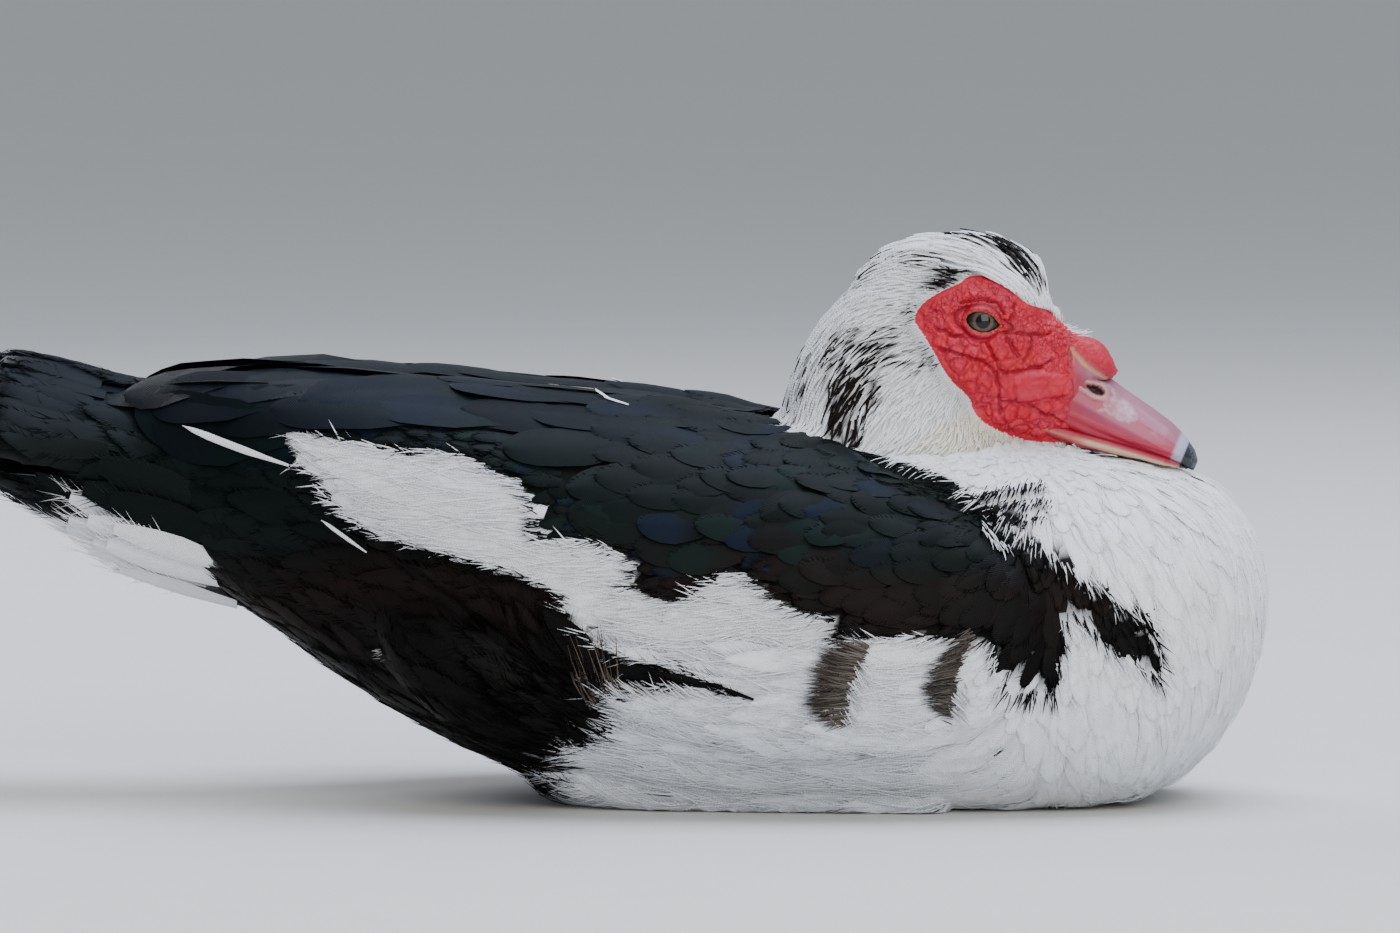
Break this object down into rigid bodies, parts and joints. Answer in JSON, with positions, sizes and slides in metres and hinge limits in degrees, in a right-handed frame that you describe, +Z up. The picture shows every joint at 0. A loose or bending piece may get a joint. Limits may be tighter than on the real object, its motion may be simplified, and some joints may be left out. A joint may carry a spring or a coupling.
{
  "type": "muscovy duck",
  "caption": "Life-size black and white muscovy drake at rest on the ground, neck drawn back and bill on the breast, with a bare red face.",
  "frame": {"origin": "on the ground, below the middle of the bird's length and width", "axes": "+X the way the bird faces, +Y its left side, +Z up"},
  "size_m": [0.5453, 0.2042, 0.2169],
  "materials": {
    "white_feather": "soft matt white contour feathers",
    "dark_feather": "satin black feathers with a green and bronze sheen",
    "face_skin": "bare red skin in small swollen cells",
    "bill_horn": "satin pink horny sheath",
    "nail_horn": "satin black horn",
    "eye_wet": "wet, glossy",
    "foot_skin": "scaled skin"
  },
  "bodies": {
    "root": {"trunk": "white_feather", "neck": "white_feather", "head": "face_skin", "knob": "face_skin", "bill_upper": "bill_horn", "bill_nail": "nail_horn", "bill_lower": "bill_horn", "tail": "dark_feather", "eye_left": "eye_wet", "wing_left": "dark_feather", "thigh_left": "dark_feather", "foot_left": "foot_skin", "claw_inner_left": "nail_horn", "claw_middle_left": "nail_horn", "claw_outer_left": "nail_horn", "claw_hind_left": "nail_horn", "eye_right": "eye_wet", "wing_right": "dark_feather", "thigh_right": "dark_feather", "foot_right": "foot_skin", "claw_inner_right": "nail_horn", "claw_middle_right": "nail_horn", "claw_outer_right": "nail_horn", "claw_hind_right": "nail_horn"}
  },
  "joints": []
}
